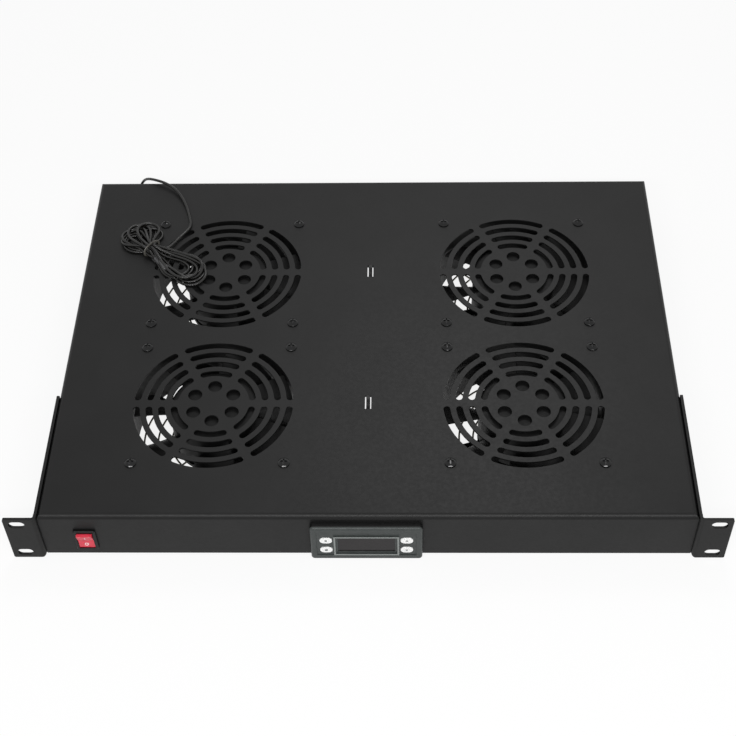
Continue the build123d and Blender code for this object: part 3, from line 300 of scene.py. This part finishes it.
# Hank tie. A flat plastic-coated band, closed once round the waist of the hank, so
# that it holds all the strands together.
tie_half_width, tie_half_height = 7.5, 4.9
tie_across, tie_above = -0.05, 4.55
bpy.ops.object.select_all(action="DESELECT")
bpy.ops.curve.primitive_bezier_circle_add(radius=0.001)
hank_tie = bpy.context.object
hank_tie.name = "hank_tie_band"
for point in hank_tie.data.splines[0].bezier_points:
    for handle in ("co", "handle_left", "handle_right"):
        x, y, _ = getattr(point, handle) * 1000
        across, above = tie_half_width * x + tie_across, tie_above + tie_half_height * y
        setattr(point, handle, on_plate(0, across, above))
hank_tie.data.splines[0].resolution_u = 16
hank_tie.data.extrude = 0.0006
hank_tie.data.bevel_depth = 0.0003
hank_tie.data.bevel_resolution = 2
bpy.ops.object.convert(target="MESH")
tie_skin, tree, shader = finish("tie_plastic", "#55534e", 0.35)
tones(tree, shader, noise(tree, 2), "#4a4844", "#605e58")
bump(tree, shader, noise(tree, 0.4), 0.02)
hank_tie.data.materials.clear()
hank_tie.data.materials.append(tie_skin)
paint(tie_skin, "hank_tie")
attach(hank_tie, "tray")
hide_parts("hank_tie")

# Probe tip. A moulded plastic sensor body with a round nose, and a short sleeve
# moulded on round the end of the lead.
tip_radius = 0.0025
tip_length = 0.0135
sleeve_radius = 0.0017
sleeve_length = 0.0025
nose_round = 0.0016
edge_round = 0.0004
tip_nose = Vector((-0.1552, 0.2272, 0.0244))
bpy.ops.object.select_all(action="DESELECT")
bpy.ops.mesh.primitive_cylinder_add(
    vertices=32, radius=tip_radius, depth=tip_length, location=(0, 0, tip_length / 2),
)
probe_end = bpy.context.object
probe_end.name = "sensor_tip"
bpy.ops.object.transform_apply(location=True)


def pick_faces(piece, chosen):
    """Enters edit mode with only the faces selected whose middle and normal are chosen."""
    bpy.ops.object.mode_set(mode="EDIT")
    bpy.ops.mesh.select_mode(type="FACE")
    bpy.ops.mesh.select_all(action="DESELECT")
    bpy.ops.object.mode_set(mode="OBJECT")
    for face in piece.data.polygons:
        face.select = chosen(face.center, face.normal)
    bpy.ops.object.mode_set(mode="EDIT")


pick_faces(probe_end, lambda middle, normal: normal.z > 0.9)
bpy.ops.mesh.bevel(offset=nose_round, segments=5, affect="EDGES")
bpy.ops.object.mode_set(mode="OBJECT")
pick_faces(probe_end, lambda middle, normal: normal.z < -0.9)
bpy.ops.mesh.bevel(offset=edge_round, segments=2, affect="EDGES")
bpy.ops.object.mode_set(mode="OBJECT")
pick_faces(probe_end, lambda middle, normal: normal.z < -0.9)
bpy.ops.mesh.inset(thickness=tip_radius - edge_round - sleeve_radius)
bpy.ops.mesh.extrude_region_move(TRANSFORM_OT_translate={"value": (0, 0, -sleeve_length)})
bpy.ops.mesh.bevel(offset=edge_round, segments=3, affect="EDGES")
bpy.ops.object.mode_set(mode="OBJECT")
tip_start = Vector(on_plate(*lead_end))
tip_aim = tip_nose - tip_start
probe_end.rotation_euler = tip_aim.to_track_quat("Z", "Y").to_euler()
probe_end.location = tip_start + tip_aim.normalized() * (sleeve_length * 0.8)
bpy.ops.object.transform_apply(location=True, rotation=True)
bpy.ops.object.shade_smooth_by_angle(angle=math.radians(35))
tip_skin, tree, shader = finish("sensor_plastic", "#3a3a3b", 0.35)
tones(tree, shader, noise(tree, 3), "#343435", "#414142")
bump(tree, shader, noise(tree, 0.4), 0.02)
probe_end.data.materials.append(tip_skin)
paint(tip_skin, "probe_tip")
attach(probe_end, "tray")
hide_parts("probe_tip")

# Grommet. A black rubber bush, pushed into the rear wall from behind.
bush, tree, shader = finish("grommet_rubber", "#151515", 0.62, gloss=0.35)
tones(tree, shader, noise(tree, 4), "#111111", "#1a1a1a")
bump(tree, shader, noise(tree, 0.5), 0.03)
paint(bush, "probe_grommet")

# Room. A plain white floor just under the tray, an even white room, a soft lamp above
# and behind, and a wide strip lamp behind the camera.
floor_gap = 0.0006
floor_glow = 0.86
room_light = 0.4


def seen_directly(tree):
    """One for rays from the camera, from reflections and through glass, else zero."""
    path = add(tree, "LightPath").outputs
    seen = add(tree, "Math", {0: path["Is Camera Ray"], 1: path["Is Glossy Ray"]}, operation="MAXIMUM")
    seen = add(tree, "Math", {0: seen.outputs[0], 1: path["Is Transmission Ray"]}, operation="MAXIMUM")
    return seen.outputs[0]


bpy.ops.object.select_all(action="DESELECT")
bpy.ops.mesh.primitive_plane_add(size=12, location=(0, 0.16, cad_box[0][2] - floor_gap))
floor = bpy.context.object
floor.name = "studio_floor"
made = bpy.data.materials.new("floor_white")
made.use_nodes = True
tree = made.node_tree
tree.nodes.clear()
share = add(tree, "Math", {0: seen_directly(tree), 1: floor_glow}, operation="MULTIPLY")
matt = add(tree, "BsdfDiffuse", {"Color": linear("#f4f4f4")})
glow = add(tree, "Emission", {"Color": linear("#ffffff"), "Strength": 1.0})
both = add(tree, "MixShader", {0: share.outputs[0], 1: matt.outputs[0], 2: glow.outputs[0]})
add(tree, "OutputMaterial", {"Surface": both.outputs[0]})
floor.data.materials.append(made)

world = bpy.data.worlds.new("studio")
bpy.context.scene.world = world
world.use_nodes = True
tree = world.node_tree
tree.nodes.clear()
room = add(tree, "Background", {"Color": linear("#ffffff"), "Strength": room_light})
white = add(tree, "Background", {"Color": linear("#ffffff"), "Strength": 1.0})
both = add(tree, "MixShader", {0: seen_directly(tree), 1: room.outputs[0], 2: white.outputs[0]})
add(tree, "OutputWorld", {"Surface": both.outputs[0]})


def lamp(name, place, aim, width, depth, power):
    """A soft lamp that faces the aim."""
    bpy.ops.object.light_add(type="AREA", location=place)
    made = bpy.context.object
    made.name = name
    made.rotation_euler = (Vector(aim) - Vector(place)).to_track_quat("-Z", "Y").to_euler()
    made.data.shape = "RECTANGLE"
    made.data.size = width
    made.data.size_y = depth
    made.data.energy = power


lamp("key_lamp", (0.14, 1.0, 1.35), aim=(0, 0.16, 0), width=0.4, depth=0.4, power=3.6)
lamp("fill_lamp", (0.04, -0.9, 1.1), aim=(0, 0.1, 0), width=1.5, depth=0.16, power=17)

# Tray and brackets. Cut and folded steel sheet, with a fine black powder coat that
# is baked on after folding, so the cut edges are coated as well.
coat, tree, shader = finish("powder_coat", "#111111", 0.43, gloss=0.2)
tones(tree, shader, noise(tree, 35, 4), "#0f0f0f", "#131313")
sheen_spread(tree, shader, noise(tree, 2.5), 0.4, 0.47)
bump(tree, shader, noise(tree, 0.7, 1), 0.03)
paint(coat, "tray_body", "left_rack_bracket", "right_rack_bracket")

# Screws and nuts. Black plated pan-head screws hold the fans and the brackets. Nuts,
# guard screws and the inlet's screws are clear zinc plated.
black_zinc, tree, shader = finish("black_plating", "#070708", 0.14, gloss=0.3)
sheen_spread(tree, shader, noise(tree, 1.2), 0.12, 0.17)
bump(tree, shader, noise(tree, 0.8), 0.01)
paint(black_zinc, "fan_screws", "bracket_screws")
zinc, tree, shader = finish("zinc_plating", "#b9b8b2", 0.3, metal=1.0)
tones(tree, shader, noise(tree, 2.5, 3), "#a9a89f", "#c6c6c3")
sheen_spread(tree, shader, noise(tree, 1.0), 0.22, 0.38)
bump(tree, shader, noise(tree, 0.5), 0.01)
paint(zinc, "fan_nuts", "bracket_nuts", "guard_screws", "guard_nuts", "inlet_screws", "inlet_nuts")

# Fans. Die-cast frames under a black coat, moulded impellers with seven blades, and
# bright wire guards on the underside.
fans = ("front_left", "front_right", "rear_left", "rear_right")
lamination = 0.5
casting, tree, shader = finish("cast_frame_coat", "#0a0a0a", 0.5, gloss=0.15)
tones(tree, shader, noise(tree, 12, 3), "#080808", "#0d0d0d")
sheen_spread(tree, shader, noise(tree, 2), 0.44, 0.56)
bump(tree, shader, noise(tree, 1.1, 1), 0.06)
paint(casting, *(fan + "_fan_frame" for fan in fans))
# Glass-filled nylon: satin, with faint flow marks
moulding, tree, shader = finish("impeller_moulding", "#0b0b0b", 0.5, gloss=0.15)
tones(tree, shader, noise(tree, 9, 4, (1, 1, 2)), "#090909", "#0e0e0e")
sheen_spread(tree, shader, noise(tree, 4), 0.44, 0.56)
bump(tree, shader, noise(tree, 0.5), 0.02)
paint(moulding, *(fan + "_impeller" for fan in fans))
# Bright nickel on drawn wire
nickel, tree, shader = finish("nickel_wire", "#d0cec8", 0.14, metal=1.0)
sheen_spread(tree, shader, noise(tree, 2, 2, (1, 1, 4)), 0.1, 0.2)
bump(tree, shader, noise(tree, 0.4), 0.01)
paint(nickel, *(fan + "_finger_guard" for fan in fans))
# Ground steel: fine rings round the axis
ground, tree, shader = finish("ground_steel", "#a8a8a6", 0.24, metal=1.0)
bump(tree, shader, noise(tree, 0.2, 1, (0.05, 0.05, 1)), 0.01)
sheen_spread(tree, shader, noise(tree, 1.0), 0.18, 0.3)
paint(ground, "fan_bearings", *(fan + "_shaft" for fan in fans))
# Varnished laminations, half a millimetre each
stack, tree, shader = finish("stator_stack", "#6b4a33", 0.45, metal=0.8)
where = add(tree, "TexCoord").outputs["Object"]
layers = add(tree, "TexWave", {"Vector": where, "Scale": 1000 / lamination / 2 / math.pi}, bands_direction="Z")
bump(tree, shader, layers.outputs[1], 0.05)
tones(tree, shader, noise(tree, 5), "#4c3a30", "#8a5a38")
paint(stack, *(fan + "_stator" for fan in fans))

# Thermostat. A snap-in panel controller: moulded grey bezel, smoked window over the
# display, four light rubber-feel keys, black case, two clips and a terminal block.
# Depths where the painted shade band and the painted rib highlight begin
shade_band_front, highlight_rib_front = -0.0022, -0.0044
mark_radius, mark_depth, mark_sunk = 0.0011, 0.00016, 0.00002
bezel, tree, shader = finish("bezel_moulding", "#353938", 0.42, gloss=0.3)
# Behind its front the moulding is painted near-black, a painted shade band above and round the bezel, and the
# window's raised rib is painted pale, a painted highlight
tones(tree, shader, noise(tree, 8, 3), "#323635", "#393d3c")
grey = shader.inputs["Base Color"].links[0].from_socket
depth = add(tree, "SeparateXYZ", {0: add(tree, "TexCoord").outputs["Object"]}).outputs[1]
behind = add(tree, "Math", {0: depth, 1: shade_band_front}, operation="GREATER_THAN").outputs[0]
painted_rib_highlight = add(tree, "Math", {0: depth, 1: highlight_rib_front}, operation="LESS_THAN").outputs[0]
# Painted shade: the bezel's rear part, next to the panel, is painted near-black
painted_shade_band = add(tree, "Mix", {0: behind, 6: grey, 7: linear("#0c0c0c")}, data_type="RGBA").outputs[2]
# Painted highlight: the raised rib round the window is painted pale grey
shade_and_highlight = add(tree, "Mix", {0: painted_rib_highlight, 6: painted_shade_band, 7: linear("#7c807e")}, data_type="RGBA").outputs[2]
tree.links.new(shade_and_highlight, shader.inputs["Base Color"])
sheen_spread(tree, shader, noise(tree, 1.0), 0.38, 0.48)
bump(tree, shader, noise(tree, 0.35, 1), 0.03)
paint(bezel, "thermostat_bezel")
pane, tree, shader = finish("smoked_window", "#171314", 0.15, gloss=0.25)
tones(tree, shader, noise(tree, 14), "#151112", "#1a1617")
bump(tree, shader, noise(tree, 8), 0.02)
paint(pane, "thermostat_window")
keys, tree, shader = finish("key_moulding", "#e8e9e8", 0.4)
tones(tree, shader, noise(tree, 3), "#e4e5e4", "#ececeb")
bump(tree, shader, noise(tree, 0.5), 0.02)
paint(keys, "upper_left_button", "upper_right_button", "lower_left_button", "lower_right_button")
# Plain printed marks on the keys, thin pads of grey ink
ink, tree, shader = finish("grey_ink", "#6d706f", 0.5)
tones(tree, shader, noise(tree, 1), "#686b6a", "#737675")
bump(tree, shader, noise(tree, 0.3), 0.01)
for name, sides, turn in (
    ("upper_left", 4, 45), ("upper_right", 3, 0), ("lower_left", 16, 0), ("lower_right", 3, 180),
):
    corners = [Vector(corner) for corner in nodes[name + "_button"].bound_box]
    middle = sum(corners, Vector()) / 8
    front = min(corner.y for corner in corners)
    bpy.ops.object.select_all(action="DESELECT")
    bpy.ops.mesh.primitive_cylinder_add(
        vertices=sides, radius=mark_radius, depth=mark_depth,
        location=(middle.x, front - mark_sunk, middle.z), rotation=(math.radians(90), math.radians(turn), 0),
    )
    mark = bpy.context.object
    mark.name = name + "_mark"
    bpy.ops.object.transform_apply()
    mark.data.materials.append(ink)
    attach(mark, name + "_key")
case, tree, shader = finish("case_moulding", "#181818", 0.4)
tones(tree, shader, noise(tree, 7, 3), "#141414", "#1e1e1e")
bump(tree, shader, noise(tree, 0.6), 0.03)
paint(case, "thermostat_case")
mask, tree, shader = finish("board_mask", "#1c4a2a", 0.3, coat=0.3)
tones(tree, shader, noise(tree, 2, 4), "#163c22", "#215731")
bump(tree, shader, noise(tree, 1.0), 0.03)
paint(mask, "thermostat_board")
natural, tree, shader = finish("natural_nylon", "#cdc8ba", 0.45)
tones(tree, shader, noise(tree, 4), "#c4bfb0", "#d6d1c4")
bump(tree, shader, noise(tree, 0.5), 0.03)
shader.inputs["Subsurface Weight"].default_value = 0.1
shader.inputs["Subsurface Radius"].default_value = (0.002, 0.002, 0.0015)
paint(natural, "thermostat_clips", "loom_clips")
block, tree, shader = finish("terminal_moulding", "#1d5a38", 0.4)
tones(tree, shader, noise(tree, 5), "#194f31", "#22663f")
bump(tree, shader, noise(tree, 0.5), 0.03)
paint(block, "thermostat_terminals")

# Mains switch. A snap-in rocker switch: black frame, translucent red rocker on two
# pins, and tinned blades at the back.
rocker_x = -0.1897
on_height, off_height = -0.0004, -0.0084
switch_black, tree, shader = finish("switch_moulding", "#090909", 0.32, gloss=0.2)
tones(tree, shader, noise(tree, 5), "#070707", "#0b0b0b")
bump(tree, shader, noise(tree, 0.5), 0.02)
paint(switch_black, "switch_body")
red, tree, shader = finish("red_rocker", "#cf2a40", 0.3, gloss=0.45)
tones(tree, shader, noise(tree, 6), "#c9263c", "#d43047")
shader.inputs["Subsurface Weight"].default_value = 0.3
shader.inputs["Subsurface Radius"].default_value = (0.003, 0.0006, 0.0006)
bump(tree, shader, noise(tree, 1.5), 0.01)
paint(red, "switch_rocker")
tinned, tree, shader = finish("tinned_brass", "#c3b791", 0.28, metal=1.0)
tones(tree, shader, noise(tree, 3, 3), "#b5a779", "#cfc7ab")
bump(tree, shader, noise(tree, 0.5), 0.02)
paint(tinned, "switch_terminals", "inlet_pins")
# Moulded on and off marks, filled with white paint
paint_white, tree, shader = finish("mark_paint", "#f3dfe0", 0.45)
tones(tree, shader, noise(tree, 1), "#efd9db", "#f6e6e6")
bump(tree, shader, noise(tree, 0.3), 0.01)


def rocker_face(height):
    """Where the rocker's face is at that height, and which way it looks."""
    rocker = nodes["switch_rocker"]
    hit, place, normal, _ = rocker.ray_cast(Vector((rocker_x, -0.05, height)), Vector((0, 1, 0)))
    return place, normal.to_track_quat("Z", "Y").to_euler()


bpy.ops.object.select_all(action="DESELECT")
place, turn = rocker_face(on_height)
bpy.ops.mesh.primitive_cube_add(size=1, location=place, rotation=turn)
on_mark = bpy.context.object
on_mark.name = "rocker_on_mark"
on_mark.scale = (0.0006, 0.0028, 0.0002)
bpy.ops.object.transform_apply()
on_mark.modifiers.new("edge", "BEVEL").width = 0.00005
bpy.ops.object.modifier_apply(modifier="edge")
place, turn = rocker_face(off_height)
bpy.ops.object.select_all(action="DESELECT")
bpy.ops.mesh.primitive_torus_add(
    major_radius=0.0012, minor_radius=0.00026, major_segments=32, minor_segments=10,
    location=place, rotation=turn,
)
off_mark = bpy.context.object
off_mark.name = "rocker_off_mark"
bpy.ops.object.transform_apply()
for mark in (on_mark, off_mark):
    mark.data.materials.append(paint_white)
    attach(mark, "rocker")

# Power inlet. A screwed appliance inlet with three pins, and a soft boot behind it.
socket, tree, shader = finish("inlet_moulding", "#131313", 0.38)
tones(tree, shader, noise(tree, 6, 3), "#101010", "#191919")
bump(tree, shader, noise(tree, 0.5), 0.03)
paint(socket, "power_inlet")
boot, tree, shader = finish("boot_vinyl", "#161616", 0.6, gloss=0.35)
tones(tree, shader, noise(tree, 6, 3), "#121212", "#1c1c1c")
bump(tree, shader, noise(tree, 0.8), 0.04)
paint(boot, "inlet_boot")

# Wiring. The mains loom is several leads in a braided sleeve. The fan leads and the
# switch lead are smooth vinyl.
braid_pitch, braid_angle = 1.2, 35
sleeve, tree, shader = finish("braided_sleeve", "#171717", 0.5)
where = add(tree, "TexCoord").outputs["Object"]
lines = []
for direction in (1, -1):
    slant = (0, 0, math.radians(braid_angle * direction))
    turned_way = add(tree, "Mapping", {"Vector": where, "Rotation": slant}).outputs[0]
    waves = {"Vector": turned_way, "Scale": 1000 / braid_pitch / 2 / math.pi}
    lines.append(add(tree, "TexWave", waves).outputs[1])
crossed = add(tree, "Math", {0: lines[0], 1: lines[1]}, operation="MAXIMUM")
bump(tree, shader, crossed.outputs[0], 0.2)
tones(tree, shader, crossed.outputs[0], "#0b0b0b", "#202020")
paint(sleeve, "mains_loom")
paint(jacket, "fan_leads", "switch_lead")
